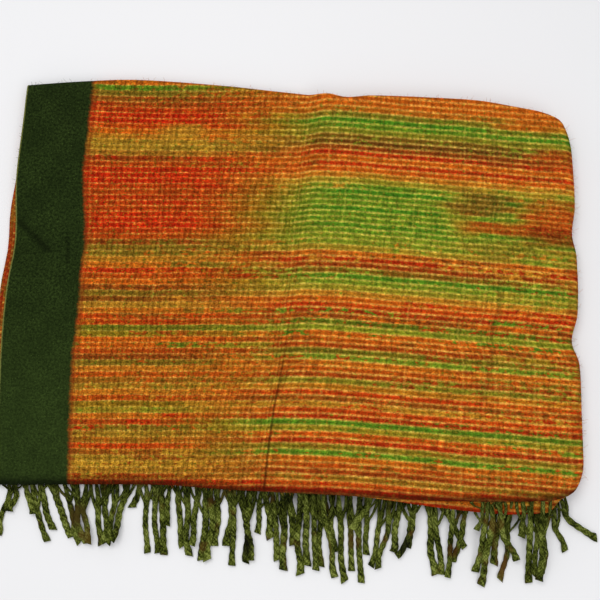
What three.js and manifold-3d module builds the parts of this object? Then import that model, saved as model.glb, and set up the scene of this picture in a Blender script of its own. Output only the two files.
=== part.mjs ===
import * as THREE from 'three';
import Module from 'manifold-3d';

// A brushed wool blanket, folded and lying on a surface, with a twisted fringe at both warp ends.
// It is folded in four along its length, with both fringed ends under the near fold. Then its right-hand
// third is folded under, so the pack has four layers on the left and eight on the right.
// Millimetres, +Z up, +X across the pack from the green border to the end fold, +Y away from the fringe.
// The origin is under the middle of the whole part, on the surface it lies on.

const CLOTH = 3; // thickness of the brushed cloth
const LAYER = 3.5; // from one layer to the next, so 0.5 lies between them
const WIDTH = 680; // of the folded pack, before its outline is made uneven
const DEPTH = 476; // of the folded pack, near fold to far fold
const UNDER_END = 359; // where the third that is folded under ends
const RAMP_START = 323; // the upper panel climbs onto the part folded under
const RAMP_END = 357;
const FAR_PULL = { radius: 50, pull: 0.36 }; // how the right-hand corners are rounded
const NEAR_PULL = { radius: 34, pull: 0.24 };

const STRIP = 6; // width of the fringe's root strip
const PARTING = 0.9; // between the cloth's end and the strip
const STRANDS = 40; // at each end of the cloth
const STRAND = { width: 7, top: 0.7, height: 4.5, rootWidth: 5, rootHeight: 2.2 };
const TIER = 4.85; // height that a strand gains where it lies across others
const LENGTH = 77; // of a strand, from the strip to its cut end

// Across the pack, from its border edge (0) to its end fold (1): the far and near edge.
const FAR_EDGE = [
  { at: 0, edge: 268 },
  { at: 0.1, edge: 273 },
  { at: 0.19, edge: 275 },
  { at: 0.33, edge: 267.5 },
  { at: 0.42, edge: 260 },
  { at: 0.51, edge: 252.5 },
  { at: 0.55, edge: 247 },
  { at: 0.6, edge: 249 },
  { at: 0.73, edge: 246 },
  { at: 0.83, edge: 242 },
  { at: 0.9, edge: 234 },
  { at: 1, edge: 222 },
];
const NEAR_EDGE = [
  { at: 0, edge: -218 },
  { at: 0.3, edge: -218 },
  { at: 0.43, edge: -223.5 },
  { at: 0.6, edge: -229 },
  { at: 0.75, edge: -235.5 },
  { at: 0.9, edge: -236.5 },
  { at: 1, edge: -233 },
];

// Up the pack, from its near fold (0) to its far fold (1): both side edges and the skewed step between them.
const BORDER_EDGE = [
  { at: 0, edge: -349 },
  { at: 0.2, edge: -351.5 },
  { at: 0.3, edge: -352 },
  { at: 0.4, edge: -351 },
  { at: 0.49, edge: -348 },
  { at: 0.59, edge: -341.5 },
  { at: 0.75, edge: -344 },
  { at: 0.88, edge: -340 },
  { at: 1, edge: -335 },
];
const FOLD_EDGE = [
  { at: 0, edge: 326 },
  { at: 0.2, edge: 327 },
  { at: 0.34, edge: 327 },
  { at: 0.395, edge: 319.5 },
  { at: 0.47, edge: 328 },
  { at: 0.62, edge: 330 },
  { at: 0.68, edge: 326 },
  { at: 0.76, edge: 331 },
  { at: 0.92, edge: 330 },
  { at: 1, edge: 328 },
];
const STEP_LINE = [
  { at: 0, edge: -38 },
  { at: 0.18, edge: -28 },
  { at: 0.33, edge: -15 },
  { at: 1, edge: 24 },
];

// Soft rises and hollows in the pack: where, how wide and deep, and the share by which they lift it.
const SWELLS = [
  { x: 20, y: 250, wide: 60, deep: 130, lift: 0.1 },
  { x: 150, y: 330, wide: 110, deep: 80, lift: 0.13 },
  { x: 210, y: 120, wide: 120, deep: 90, lift: 0.08 },
  { x: 300, y: 260, wide: 60, deep: 160, lift: -0.08 },
  { x: 460, y: 330, wide: 110, deep: 90, lift: 0.07 },
  { x: 570, y: 150, wide: 90, deep: 120, lift: 0.06 },
  { x: 440, y: 90, wide: 90, deep: 60, lift: -0.04 },
];

// How far the cloth's ends lie behind the near fold, across the pack. Below about -6 they show past it.
const CLOTH_ENDS = [
  { at: 0, edge: 12 },
  { at: 0.55, edge: 9.5 },
  { at: 0.68, edge: 5.5 },
  { at: 0.77, edge: -1 },
  { at: 0.87, edge: -7.5 },
  { at: 0.92, edge: -7 },
  { at: 0.95, edge: -3 },
  { at: 0.98, edge: 4 },
];

// Across the pack: how far the strands' tips lean to the right, for those on the surface and those on top.
const LEAN_LOW = [
  { at: -355, edge: -6 },
  { at: -330, edge: -8 },
  { at: -318, edge: 21 },
  { at: -282, edge: 17 },
  { at: -246, edge: 3 },
  { at: -214, edge: -12 },
  { at: -189, edge: -22 },
  { at: -178, edge: 5 },
  { at: -136, edge: 6 },
  { at: -118, edge: -8 },
  { at: -58, edge: -7 },
  { at: -28, edge: 3 },
  { at: 52, edge: 4 },
  { at: 92, edge: -8 },
  { at: 128, edge: -11 },
  { at: 150, edge: 5 },
  { at: 205, edge: -3 },
  { at: 232, edge: 12 },
  { at: 268, edge: 2 },
  { at: 300, edge: 22 },
];
const LEAN_HIGH = [
  { at: 0, edge: -1 },
  { at: 60, edge: 2 },
  { at: 90, edge: -14 },
  { at: 122, edge: -21 },
  { at: 142, edge: 8 },
  { at: 168, edge: 15 },
  { at: 205, edge: 1 },
  { at: 230, edge: -6 },
  { at: 250, edge: 3 },
  { at: 278, edge: 6 },
  { at: 292, edge: 20 },
  { at: 306, edge: 46 },
];

const LOW = 1.5 * LAYER + CLOTH / 2; // middle of four layers that lie on the surface
const STEP = 4 * LAYER;
const HIGH = LOW + STEP;
const FULL_BEND = 2 * LAYER + LOW; // outer radius of the end fold
const BEND_X = WIDTH - FULL_BEND;
const FAR_Y = DEPTH - LOW; // centre of the far folds
const NEAR_Y = LAYER / 2 + CLOTH / 2; // centre of the near fold

// A smooth curve through a table's rows, level past its ends.
function along(table, at) {
  const last = table.length - 1;
  if (at <= table[0].at) {
    return table[0].edge;
  }
  if (at >= table[last].at) {
    return table[last].edge;
  }
  let i = 0;
  while (at > table[i + 1].at) {
    i += 1;
  }
  const slope = (k) => {
    const before = table[Math.max(0, k - 1)];
    const after = table[Math.min(last, k + 1)];
    return (after.edge - before.edge) / (after.at - before.at);
  };
  const span = table[i + 1].at - table[i].at;
  const t = (at - table[i].at) / span;
  const s = t * t * (3 - 2 * t);
  const ends = (1 - s) * table[i].edge + s * table[i + 1].edge;
  return ends + span * t * (1 - t) * ((1 - t) * slope(i) - t * slope(i + 1));
}

function ease(t) {
  const c = Math.min(1, Math.max(0, t));
  return c * c * (3 - 2 * c);
}

function mix(a, b, t) {
  return a + (b - a) * t;
}

// The same uneven number for the same strand each time, from -1 to 1.
function uneven(seed) {
  const s = Math.sin(seed * 12.9898) * 43758.5453;
  return 2 * (s - Math.floor(s)) - 1;
}

// Rounds a corner by pulling the points near it inwards, in plan.
function roundCorner(x, y, corner, near) {
  const p = (x - (WIDTH - corner.radius)) / corner.radius;
  const q = (near ? corner.radius - y : y - (DEPTH - corner.radius)) / corner.radius;
  if (p <= 0 || q <= 0) {
    return [x, y];
  }
  const px = p * Math.sqrt(Math.max(0.2, 1 - corner.pull * Math.min(q, 1.3) ** 2));
  const qy = q * Math.sqrt(Math.max(0.2, 1 - corner.pull * Math.min(p, 1.3) ** 2));
  const newX = WIDTH - corner.radius + px * corner.radius;
  const newY = near ? corner.radius * (1 - qy) : DEPTH - corner.radius * (1 - qy);
  return [newX, newY];
}

// How much thicker than its layers the pack lies at a point.
function swell(x, y) {
  let lift = 1;
  for (const s of SWELLS) {
    lift += s.lift * Math.exp(-(((x - s.x) / s.wide) ** 2) - ((y - s.y) / s.deep) ** 2);
  }
  const thin = 1 - 0.55 * ease((x - 300) / 80);
  lift += 0.3 * thin * ease((y - (DEPTH - 50)) / 45);
  lift += 0.12 * thin * ease((50 - y) / 45);
  return lift;
}

// Plan outline: moves a point of the even pack to where it lies in the uneven one.
function outline(x, y) {
  const [fx, fy] = roundCorner(x, y, FAR_PULL, false);
  const [cx, cy] = roundCorner(fx, fy, NEAR_PULL, true);
  const a = cx / WIDTH;
  const b = cy / DEPTH;
  const left = along(BORDER_EDGE, b);
  const right = along(FOLD_EDGE, b);
  const skew = along(STEP_LINE, b) - (left + right) / 2;
  const middle = Math.max(0, 4 * a * (1 - a)) ** 3;
  const near = along(NEAR_EDGE, a);
  const far = along(FAR_EDGE, a);
  return [mix(left, right, a) + skew * middle, mix(near, far, b)];
}

// Path of the middle of the four layers across the pack: up the step, around the end fold and back under.
function makePath() {
  const upper = [0, 40, 88, 150, 212, 265, 305];
  const beyond = [382, 430, 490, 550, 600, 640];
  const path = [];
  for (const x of upper) {
    path.push({ x, z: LOW, nx: 0, nz: 1, under: 0 });
  }
  for (let i = 0; i <= 4; i += 1) {
    const t = i / 4;
    const rise = (6 * t * (1 - t) * STEP) / (RAMP_END - RAMP_START);
    const size = Math.hypot(1, rise);
    const z = LOW + STEP * ease(t);
    path.push({ x: mix(RAMP_START, RAMP_END, t), z, nx: -rise / size, nz: 1 / size, under: 0 });
  }
  for (const x of beyond) {
    path.push({ x, z: HIGH, nx: 0, nz: 1, under: 0 });
  }
  for (let i = 0; i <= 6; i += 1) {
    const angle = Math.PI / 2 - (i * Math.PI) / 6;
    const nx = i === 0 || i === 6 ? 0 : Math.cos(angle);
    const nz = Math.sin(angle);
    path.push({ x: BEND_X + (STEP / 2) * nx, z: LOW + STEP / 2 + (STEP / 2) * nz, nx, nz, under: i / 6 });
  }
  for (const x of beyond.slice().reverse()) {
    path.push({ x, z: LOW, nx: 0, nz: -1, under: 1 });
  }
  path.push({ x: UNDER_END, z: LOW, nx: 0, nz: -1, under: 1 });
  let run = 0;
  path.forEach((p, i) => {
    if (i > 0) {
      run += Math.hypot(p.x - path[i - 1].x, p.z - path[i - 1].z);
    }
    p.run = run;
  });
  return path;
}

// A point of the folded pack: y up the pack, o from the middle of the four layers, out is past the edge.
function folded(p, y, o, out) {
  const x = p.x + o * p.nx;
  const z = p.z + o * p.nz;
  const [px, py] = outline(x - out, y);
  return new THREE.Vector3(px, py, z * swell(x, y));
}

// Where the cloth's ends lie: the first end in the bottom layer, the second in the one above it.
function endOf(p, first) {
  const spread = p.under === 1 ? ease((BEND_X - p.x) / 120) : 0;
  const inner = first ? mix(2, 4, spread) : mix(0, 6, spread);
  return along(CLOTH_ENDS, Math.min(p.x, BEND_X) / WIDTH) + inner;
}

// The bottom layers reach out past the border edge on the near side, which shows their back.
function outOf(layer, y) {
  const share = [1, 0.75, 0.35, 0][layer];
  return 11 * share * ease((390 - y) / 90);
}

// Section of the four layers on one station: pairs of points on both faces of the cloth, end to end.
function section(p) {
  const rows = [34, 90, 150, 188, 226, 290, 324, 360, 418, 450];
  const down = rows.slice().reverse();
  const pairs = [];
  const flat = (y, layer, facing) => {
    const o = (layer - 1.5) * LAYER;
    const out = p.run === 0 ? outOf(layer, y) : 0;
    const half = (facing * CLOTH) / 2;
    pairs.push([folded(p, y, o + half, out), folded(p, y, o - half, out)]);
  };
  const bend = (y, o, radius, from, to, steps) => {
    for (let i = 0; i <= steps; i += 1) {
      const angle = mix(from, to, i / steps);
      const c = Math.cos(angle);
      const s = Math.sin(angle);
      const inner = radius - CLOTH / 2;
      const outer = radius + CLOTH / 2;
      const side = [folded(p, y + inner * c, o + inner * s, 0), folded(p, y + outer * c, o + outer * s, 0)];
      pairs.push(from < to ? side : side.reverse());
    }
  };
  const first = endOf(p, true);
  const second = endOf(p, false);
  for (const y of [first, Math.max(4, first + 4), ...rows]) {
    flat(y, 0, 1);
  }
  bend(FAR_Y, 0, 1.5 * LAYER, -Math.PI / 2, Math.PI / 2, 6);
  for (const y of down) {
    flat(y, 3, -1);
  }
  bend(NEAR_Y, LAYER, 0.5 * LAYER, Math.PI / 2, 1.5 * Math.PI, 4);
  for (const y of rows) {
    flat(y, 2, 1);
  }
  bend(FAR_Y, 0, 0.5 * LAYER, Math.PI / 2, -Math.PI / 2, 4);
  for (const y of [...down, Math.max(4, second + 4), second]) {
    flat(y, 1, -1);
  }
  return pairs;
}

// One closed solid through a list of sections, each a list of pairs of points.
function sweep(sections) {
  const count = sections[0].length;
  const ring = 2 * count;
  const positions = [];
  for (const pairs of sections) {
    const points = [...pairs.map((pair) => pair[0]), ...pairs.map((pair) => pair[1]).reverse()];
    points.forEach((v) => positions.push(v.x, v.y, v.z));
  }
  const faces = [];
  const quad = (a, b, c, d) => faces.push(a, b, c, a, c, d);
  for (let s = 0; s + 1 < sections.length; s += 1) {
    for (let k = 0; k < ring; k += 1) {
      const next = (k + 1) % ring;
      quad(s * ring + k, s * ring + next, (s + 1) * ring + next, (s + 1) * ring + k);
    }
  }
  const end = (sections.length - 1) * ring;
  for (let k = 0; k + 1 < count; k += 1) {
    const other = ring - 1 - k;
    quad(k, other, other - 1, k + 1);
    quad(end + k, end + k + 1, end + other - 1, end + other);
  }
  return { positions, faces };
}

// Turns the faces outwards if the volume comes out negative.
function outwards(solid) {
  const p = solid.positions;
  const f = solid.faces;
  let volume = 0;
  for (let i = 0; i < f.length; i += 3) {
    const [a, b, c] = [f[i], f[i + 1], f[i + 2]].map((k) => new THREE.Vector3(p[3 * k], p[3 * k + 1], p[3 * k + 2]));
    volume += a.dot(b.cross(c)) / 6;
  }
  if (volume < 0) {
    for (let i = 0; i < f.length; i += 3) {
      [f[i + 1], f[i + 2]] = [f[i + 2], f[i + 1]];
    }
  }
  return solid;
}

const path = makePath();
const total = path[path.length - 1].run;

// The root strip: the last of the cloth at one end, parted from the rest and a little thinner.
function rootStrip(first) {
  const o = (first ? -1.5 : -0.5) * LAYER;
  const low = o - CLOTH / 2 + (first ? 0 : 0.15);
  const high = o + CLOTH / 2 - 0.15;
  return path.map((p) => {
    const y = endOf(p, first) - PARTING;
    const near = [folded(p, y - STRIP, low, 0), folded(p, y - STRIP, high, 0)];
    const far = [folded(p, y, low, 0), folded(p, y, high, 0)];
    return [
      [near[0], near[1]],
      [far[0], far[1]],
    ];
  });
}

// Where each strand of one end starts, on the surface or on top of others, in order across the pack.
function strandRoots(first) {
  const strip = rootStrip(first);
  const roots = [];
  for (let k = 0; k < STRANDS; k += 1) {
    const run = ((k + (first ? 0.25 : 0.75)) * total) / STRANDS;
    let i = 0;
    while (path[i + 1].run < run) {
      i += 1;
    }
    const t = (run - path[i].run) / (path[i + 1].run - path[i].run);
    const level = Math.abs(mix(path[i].nz, path[i + 1].nz, t));
    if (level > (run > 500 ? 0.97 : 0.8)) {
      const at = (pair, side) => strip[i][pair][side].clone().lerp(strip[i + 1][pair][side], t);
      const inside = at(0, 0).lerp(at(1, 0), 0.5);
      const insideTop = at(0, 1).lerp(at(1, 1), 0.5);
      const bottom = Math.min(inside.z, insideTop.z);
      const thick = Math.abs(insideTop.z - inside.z);
      const x = mix(path[i].x, path[i + 1].x, t);
      const under = mix(path[i].under, path[i + 1].under, t);
      const past = Math.min(0, along(CLOTH_ENDS, x / WIDTH) - PARTING - STRIP) - 2;
      roots.push({
        first,
        seed: k + (first ? 1 : 101),
        x: inside.x,
        y: inside.y,
        z: bottom + (thick - STRAND.rootHeight) / 2,
        slope: (strip[i + 1][0][0].z - strip[i][0][0].z) / (strip[i + 1][0][0].x - strip[i][0][0].x),
        free: outline(x, past)[1],
        high: under < 0.5 && x > UNDER_END - 4,
      });
    }
  }
  return roots;
}

// Plans all strands together, so those at one height lie beside each other and never cross.
function planStrands() {
  const all = [...strandRoots(true), ...strandRoots(false)];
  for (const high of [false, true]) {
    const level = all.filter((s) => s.high === high).sort((a, b) => a.x - b.x);
    let before = null;
    for (const s of level) {
      const lean = along(high ? LEAN_HIGH : LEAN_LOW, s.x);
      s.length = LENGTH + 7 * uneven(s.seed + 0.3) + 4 * ease(s.x / 100);
      s.middle = s.x + 0.42 * lean + 1.3 * uneven(s.seed + 0.5);
      s.tip = s.x + lean + 1.6 * uneven(s.seed + 0.7);
      if (before) {
        s.middle = Math.max(s.middle, before.middle + 8.5);
        s.tip = Math.max(s.tip, before.tip + 8.5);
      }
      before = s;
    }
  }
  return all;
}

// One strand: a four-sided bar from inside its strip, down to its level and on to its cut end.
function strandSolid(s) {
  const steps = [0, 0.07, 0.14, 0.22, 0.32, 0.45, 0.62, 0.8, 1];
  const centre = (t) => {
    const y = s.y - s.length * t;
    const v = Math.max(0, (s.free - y) / LENGTH);
    const bow = 4 * (s.middle - mix(s.x, s.tip, 0.5)) * v * (1 - v);
    return new THREE.Vector2(mix(s.x, s.tip, v) + bow, y);
  };
  const sections = steps.map((t) => {
    const here = centre(t);
    const way = centre(t + 0.02).sub(centre(t - 0.02)).normalize();
    const fallen = s.high ? ease((s.free - here.y - 8) / 42) : ease((s.free - here.y) / 26);
    const grown = ease((s.free - here.y) / 24);
    const z = mix(s.z, s.high ? TIER : 0, fallen);
    const tilt = mix(s.slope, 0, Math.min(1, 1.5 * fallen));
    const width = mix(STRAND.rootWidth, STRAND.width, grown) / 2;
    const height = mix(STRAND.rootHeight, STRAND.height, grown);
    const corner = (side, up) => {
      const w = side * width * (up ? STRAND.top : 1);
      const rise = -way.y * w * tilt + (up ? height : 0);
      return new THREE.Vector3(here.x - way.y * w, here.y + way.x * w, z + rise);
    };
    return [
      [corner(-1, false), corner(-1, true)],
      [corner(1, false), corner(1, true)],
    ];
  });
  return outwards(sweep(sections));
}

const wasm = await Module();
wasm.setup();

function toManifold(solid) {
  const mesh = new wasm.Mesh({
    numProp: 3,
    vertProperties: Float32Array.from(solid.positions),
    triVerts: Uint32Array.from(solid.faces),
  });
  return new wasm.Manifold(mesh);
}

function toGeometry(positions, faces) {
  const geometry = new THREE.BufferGeometry();
  geometry.setAttribute('position', new THREE.Float32BufferAttribute(positions, 3));
  geometry.setIndex(Array.from(faces));
  return geometry;
}

// A fringe: its root strip with every strand of that end fused to it.
function fringe(strands, first) {
  let solid = toManifold(outwards(sweep(rootStrip(first))));
  for (const s of strands.filter((each) => each.first === first)) {
    solid = solid.add(toManifold(strandSolid(s)));
  }
  const mesh = solid.getMesh();
  return toGeometry(mesh.vertProperties, mesh.triVerts);
}

const strands = planStrands();
const cloth = outwards(sweep(path.map(section)));
const pieces = [
  { name: 'blanket', geometry: toGeometry(cloth.positions, cloth.faces), colour: 0x9a5a1c },
  { name: 'fringe_first_end', geometry: fringe(strands, true), colour: 0x4b5f1e },
  { name: 'fringe_second_end', geometry: fringe(strands, false), colour: 0x5d6e28 },
];

// The part's origin lies under the middle of its box, on the surface.
const box = new THREE.Box3();
for (const piece of pieces) {
  piece.geometry.computeBoundingBox();
  box.union(piece.geometry.boundingBox);
}
const middle = box.getCenter(new THREE.Vector3());

const group = new THREE.Group();
for (const piece of pieces) {
  piece.geometry.translate(-middle.x, -middle.y, 0);
  piece.geometry.computeVertexNormals();
  const material = new THREE.MeshStandardMaterial({ color: piece.colour, roughness: 0.95, metalness: 0 });
  const mesh = new THREE.Mesh(piece.geometry, material);
  mesh.name = piece.name;
  group.add(mesh);
}

export default group;
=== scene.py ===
import math

import bmesh
import bpy
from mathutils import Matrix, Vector, noise


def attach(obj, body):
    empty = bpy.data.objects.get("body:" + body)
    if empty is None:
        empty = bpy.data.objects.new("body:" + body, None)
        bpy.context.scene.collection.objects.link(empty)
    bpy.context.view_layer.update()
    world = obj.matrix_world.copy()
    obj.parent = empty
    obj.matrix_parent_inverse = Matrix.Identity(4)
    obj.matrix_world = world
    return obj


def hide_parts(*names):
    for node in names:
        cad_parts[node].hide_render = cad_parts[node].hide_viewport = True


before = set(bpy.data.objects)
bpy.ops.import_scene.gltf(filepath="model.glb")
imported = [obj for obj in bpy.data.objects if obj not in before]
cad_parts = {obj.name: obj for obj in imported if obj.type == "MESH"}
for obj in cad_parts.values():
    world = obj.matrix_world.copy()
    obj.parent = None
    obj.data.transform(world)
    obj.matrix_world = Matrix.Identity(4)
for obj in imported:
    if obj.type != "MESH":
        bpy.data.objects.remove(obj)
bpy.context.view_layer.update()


# View: a camera almost straight above the folded blanket, looking at it from its fringed side, over a plain
# pale floor. Large soft lamps and a bright surround leave only faint shadows.
CAMERA_AT = (0.00407, -0.17764, 1.18177)
CAMERA_AIM = (0.00407, 0.03074, 0.0)
LENS = 60
SENSOR = 36
FLOOR_HALF = 3.0
FLOOR_TONE = (0.79, 0.785, 0.79, 1)
SURROUND = (0.97, 0.98, 1.0, 1)
SURROUND_STRENGTH = 0.62
LAMPS = [
    {"name": "lamp_over", "at": (-0.40, 0.35, 1.8), "size": 1.2, "power": 16},
    {"name": "lamp_side", "at": (0.7, -1.0, 1.7), "size": 1.1, "power": 8},
]

scene = bpy.context.scene
scene.view_settings.view_transform = "Standard"
world = bpy.data.worlds.new("surround")
world.use_nodes = True
background = world.node_tree.nodes["Background"]
background.inputs["Color"].default_value = SURROUND
background.inputs["Strength"].default_value = SURROUND_STRENGTH
scene.world = world

camera_data = bpy.data.cameras.new("camera")
camera_data.lens = LENS
camera_data.sensor_width = SENSOR
camera = bpy.data.objects.new("camera", camera_data)
scene.collection.objects.link(camera)
camera.location = CAMERA_AT
camera.rotation_euler = (Vector(CAMERA_AIM) - Vector(CAMERA_AT)).to_track_quat("-Z", "Y").to_euler()
scene.camera = camera

for lamp in LAMPS:
    light = bpy.data.lights.new(lamp["name"], "AREA")
    light.shape = "DISK"
    light.size = lamp["size"]
    light.energy = lamp["power"]
    holder = bpy.data.objects.new(lamp["name"], light)
    scene.collection.objects.link(holder)
    holder.location = lamp["at"]
    holder.rotation_euler = (-Vector(lamp["at"])).to_track_quat("-Z", "Y").to_euler()


def finish_mesh(name, bm, materials):
    """Turns a bmesh into an object of the scene with these materials."""
    mesh = bpy.data.meshes.new(name)
    bm.to_mesh(mesh)
    bm.free()
    for material in materials:
        mesh.materials.append(material)
    piece = bpy.data.objects.new(name, mesh)
    scene.collection.objects.link(piece)
    return piece


floor_paint = bpy.data.materials.new("floor_paint")
floor_paint.use_nodes = True
floor_shader = floor_paint.node_tree.nodes["Principled BSDF"]
floor_shader.inputs["Base Color"].default_value = FLOOR_TONE
floor_shader.inputs["Roughness"].default_value = 0.9
bm = bmesh.new()
bmesh.ops.create_grid(bm, x_segments=1, y_segments=1, size=FLOOR_HALF)
floor = finish_mesh("floor", bm, [floor_paint])


# Blanket cloth: one hand-loomed, brushed wool length, folded in four along its length, then with its
# right-hand third folded under. It is a single sheet laid along that fold. Sizes are in millimetres, up the
# pack from its near fold and across it from its border, and the tables of edges go from 0 to 1 along a side.
CLOTH = 3.0
LAYER = 3.5
WIDTH = 680.0
DEPTH = 476.0
UNDER_END = 359.0
RAMP_START = 323.0
RAMP_END = 357.0
FAR_PULL = (50.0, 0.36)
NEAR_PULL = (44.0, 0.46)
STRIP = 6.0
PARTING = 0.9
LOW = 1.5 * LAYER + CLOTH / 2
STEP = 4 * LAYER
HIGH = LOW + STEP
BEND_X = WIDTH - 2 * LAYER - LOW
FAR_Y = DEPTH - LOW
NEAR_Y = LAYER / 2 + CLOTH / 2
MIDDLE = (-4.0731, -30.7422)
FAR_EDGE = [
    (0, 268), (0.1, 273), (0.19, 275), (0.33, 267.5), (0.42, 260), (0.51, 252.5), (0.55, 247), (0.6, 249),
    (0.73, 246), (0.83, 242), (0.9, 234), (1, 222),
]
NEAR_EDGE = [(0, -218), (0.3, -218), (0.43, -223.5), (0.6, -229), (0.75, -235.5), (0.9, -236.5), (1, -233)]
BORDER_EDGE = [
    (0, -349), (0.2, -351.5), (0.3, -352), (0.4, -351), (0.49, -348), (0.59, -341.5), (0.75, -344),
    (0.88, -340), (1, -335),
]
FOLD_EDGE = [
    (0, 326), (0.2, 327), (0.34, 327), (0.395, 319.5), (0.47, 328), (0.62, 330), (0.68, 326), (0.76, 331),
    (0.92, 330), (1, 328),
]
STEP_LINE = [(0, -38), (0.18, -28), (0.33, -15), (1, 24)]
# Swells of the pack: their middle, half width and half depth, and how much of the height they add.
SWELLS = [
    (20, 250, 60, 130, 0.1), (150, 330, 110, 80, 0.13), (210, 120, 120, 90, 0.08), (300, 260, 60, 160, -0.08),
    (460, 330, 110, 90, 0.07), (570, 150, 90, 120, 0.06), (440, 90, 90, 60, -0.04),
]
CLOTH_ENDS = [
    (0, 12), (0.55, 9.5), (0.68, 5.5), (0.77, -1), (0.87, -7.5), (0.92, -7), (0.944, -5.5), (0.966, 5),
]
EDGE_BAND = 45
FAR_LIFT = 0.3
NEAR_LIFT = 0.12
CREASE_PAST = 0.3
CREASE_FADE = 0.4
# Small ripples of the pack: their length across and along, where their noise is read, and their share of
# its height.
RIPPLES = [(38, 26, 3.1, 0.02), (13, 11, 7.7, 0.008)]
# How far the hidden layers stand out past the border edge of the face, and which share of it each one does.
EDGE_REACH = 11
EDGE_SHARES = {"first": 1, "fourth": 0.75, "third": 0.35}
# Creases on the top layer, in plan: from, to, half width, depth as a share of the height there.
CREASES = [
    {"from": (-334, 94), "to": (-300, 58), "wide": 3.5, "deep": 0.16},
    {"from": (-330, 104), "to": (-296, 70), "wide": 4.0, "deep": -0.06},
    {"from": (-274, 72), "to": (-276, 44), "wide": 3.0, "deep": 0.10},
    {"from": (238, 26), "to": (214, -118), "wide": 5.0, "deep": 0.05},
    {"from": (-20, -60), "to": (-36, -150), "wide": 3.2, "deep": 0.10},
    {"from": (-36, -150), "to": (-46, -226), "wide": 3.6, "deep": 0.12},
    {"from": (320, 78), "to": (286, 96), "wide": 5.0, "deep": 0.05},
    {"from": (318, -46), "to": (288, -34), "wide": 5.0, "deep": 0.06},
]


def along(table, at):
    """A smooth curve through a table's rows, level past its ends."""
    last = len(table) - 1
    if at <= table[0][0]:
        return table[0][1]
    if at >= table[last][0]:
        return table[last][1]
    i = 0
    while at > table[i + 1][0]:
        i += 1

    def slope(k):
        before = table[max(0, k - 1)]
        after = table[min(last, k + 1)]
        return (after[1] - before[1]) / (after[0] - before[0])

    step = table[i + 1][0] - table[i][0]
    t = (at - table[i][0]) / step
    s = t * t * (3 - 2 * t)
    ends = (1 - s) * table[i][1] + s * table[i + 1][1]
    return ends + step * t * (1 - t) * ((1 - t) * slope(i) - t * slope(i + 1))


def ease(t):
    """From 0 to 1 with a soft start and end."""
    c = min(1.0, max(0.0, t))
    return c * c * (3 - 2 * c)


def mix(a, b, t):
    return a + (b - a) * t


def uneven(seed):
    """The same uneven number for the same seed each time, from -1 to 1."""
    s = math.sin(seed * 12.9898) * 43758.5453
    return 2 * (s - math.floor(s)) - 1


def round_corner(x, y, pull, near):
    """Draws the corner at the end fold in, on the near or the far side."""
    radius, strength = pull
    least = 0.2
    reach = 1.3
    p = (x - (WIDTH - radius)) / radius
    q = (radius - y if near else y - (DEPTH - radius)) / radius
    if p <= 0 or q <= 0:
        return x, y
    px = p * math.sqrt(max(least, 1 - strength * min(q, reach) ** 2))
    qy = q * math.sqrt(max(least, 1 - strength * min(p, reach) ** 2))
    return WIDTH - radius + px * radius, radius * (1 - qy) if near else DEPTH - radius * (1 - qy)


def swell(x, y):
    """How much thicker than its layers the pack lies at a point."""
    lift = 1.0
    for sx, sy, wide, deep, rise in SWELLS:
        lift += rise * math.exp(-(((x - sx) / wide) ** 2) - ((y - sy) / deep) ** 2)
    thin = 1 - 0.55 * ease((x - 300) / 80)
    lift += FAR_LIFT * thin * ease((y - (DEPTH - 50)) / EDGE_BAND)
    lift += NEAR_LIFT * thin * ease((50 - y) / EDGE_BAND)
    return lift


def outline(x, y):
    """Moves a point of the even pack to where it lies in the uneven one, in plan."""
    x, y = round_corner(x, y, FAR_PULL, False)
    x, y = round_corner(x, y, NEAR_PULL, True)
    a = x / WIDTH
    b = y / DEPTH
    left = along(BORDER_EDGE, b)
    right = along(FOLD_EDGE, b)
    skew = along(STEP_LINE, b) - (left + right) / 2
    middle = max(0.0, 4 * a * (1 - a)) ** 3
    return mix(left, right, a) + skew * middle, mix(along(NEAR_EDGE, a), along(FAR_EDGE, a), b)


def crease(px, py):
    """Share by which creases press the pack down at a point of the plan."""
    down = 0.0
    for c in CREASES:
        start = Vector(c["from"])
        line = Vector(c["to"]) - start
        t = (Vector((px, py)) - start).dot(line) / line.length_squared
        if -CREASE_PAST < t < 1 + CREASE_PAST:
            off = (Vector((px, py)) - start - line * t).length / c["wide"]
            fade = ease((t + CREASE_PAST) / CREASE_FADE) * ease((1 + CREASE_PAST - t) / CREASE_FADE)
            down += c["deep"] * fade * math.exp(-off * off)
    return down


LOW_STEPS = 72
RAMP_STEPS = 10
HIGH_STEPS = 69
TURN_STEPS = 12
UNDER_STEPS = 16


def make_stations():
    """Across the cloth, from its border edge: the path of the middle of the four layers."""
    stations = []

    def station(x, z, nx, nz, under):
        run = 0.0
        if stations:
            before = stations[-1]
            run = before["run"] + math.hypot(x - before["x"], z - before["z"])
        stations.append({"x": x, "z": z, "nx": nx, "nz": nz, "under": under, "run": run})

    for i in range(LOW_STEPS):
        station(RAMP_START * i / LOW_STEPS, LOW, 0.0, 1.0, 0.0)
    for i in range(RAMP_STEPS):
        t = i / RAMP_STEPS
        rise = 6 * t * (1 - t) * STEP / (RAMP_END - RAMP_START)
        size = math.hypot(1, rise)
        station(mix(RAMP_START, RAMP_END, t), LOW + STEP * ease(t), -rise / size, 1 / size, 0.0)
    for i in range(HIGH_STEPS):
        station(mix(RAMP_END, BEND_X, i / HIGH_STEPS), HIGH, 0.0, 1.0, 0.0)
    for i in range(TURN_STEPS + 1):
        angle = math.pi / 2 - math.pi * i / TURN_STEPS
        nx = math.cos(angle)
        nz = math.sin(angle)
        station(BEND_X + STEP / 2 * nx, LOW + STEP / 2 + STEP / 2 * nz, nx, nz, i / TURN_STEPS)
    for i in range(1, UNDER_STEPS + 1):
        station(mix(BEND_X, UNDER_END, i / UNDER_STEPS), LOW, 0.0, -1.0, 1.0)
    return stations


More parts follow.
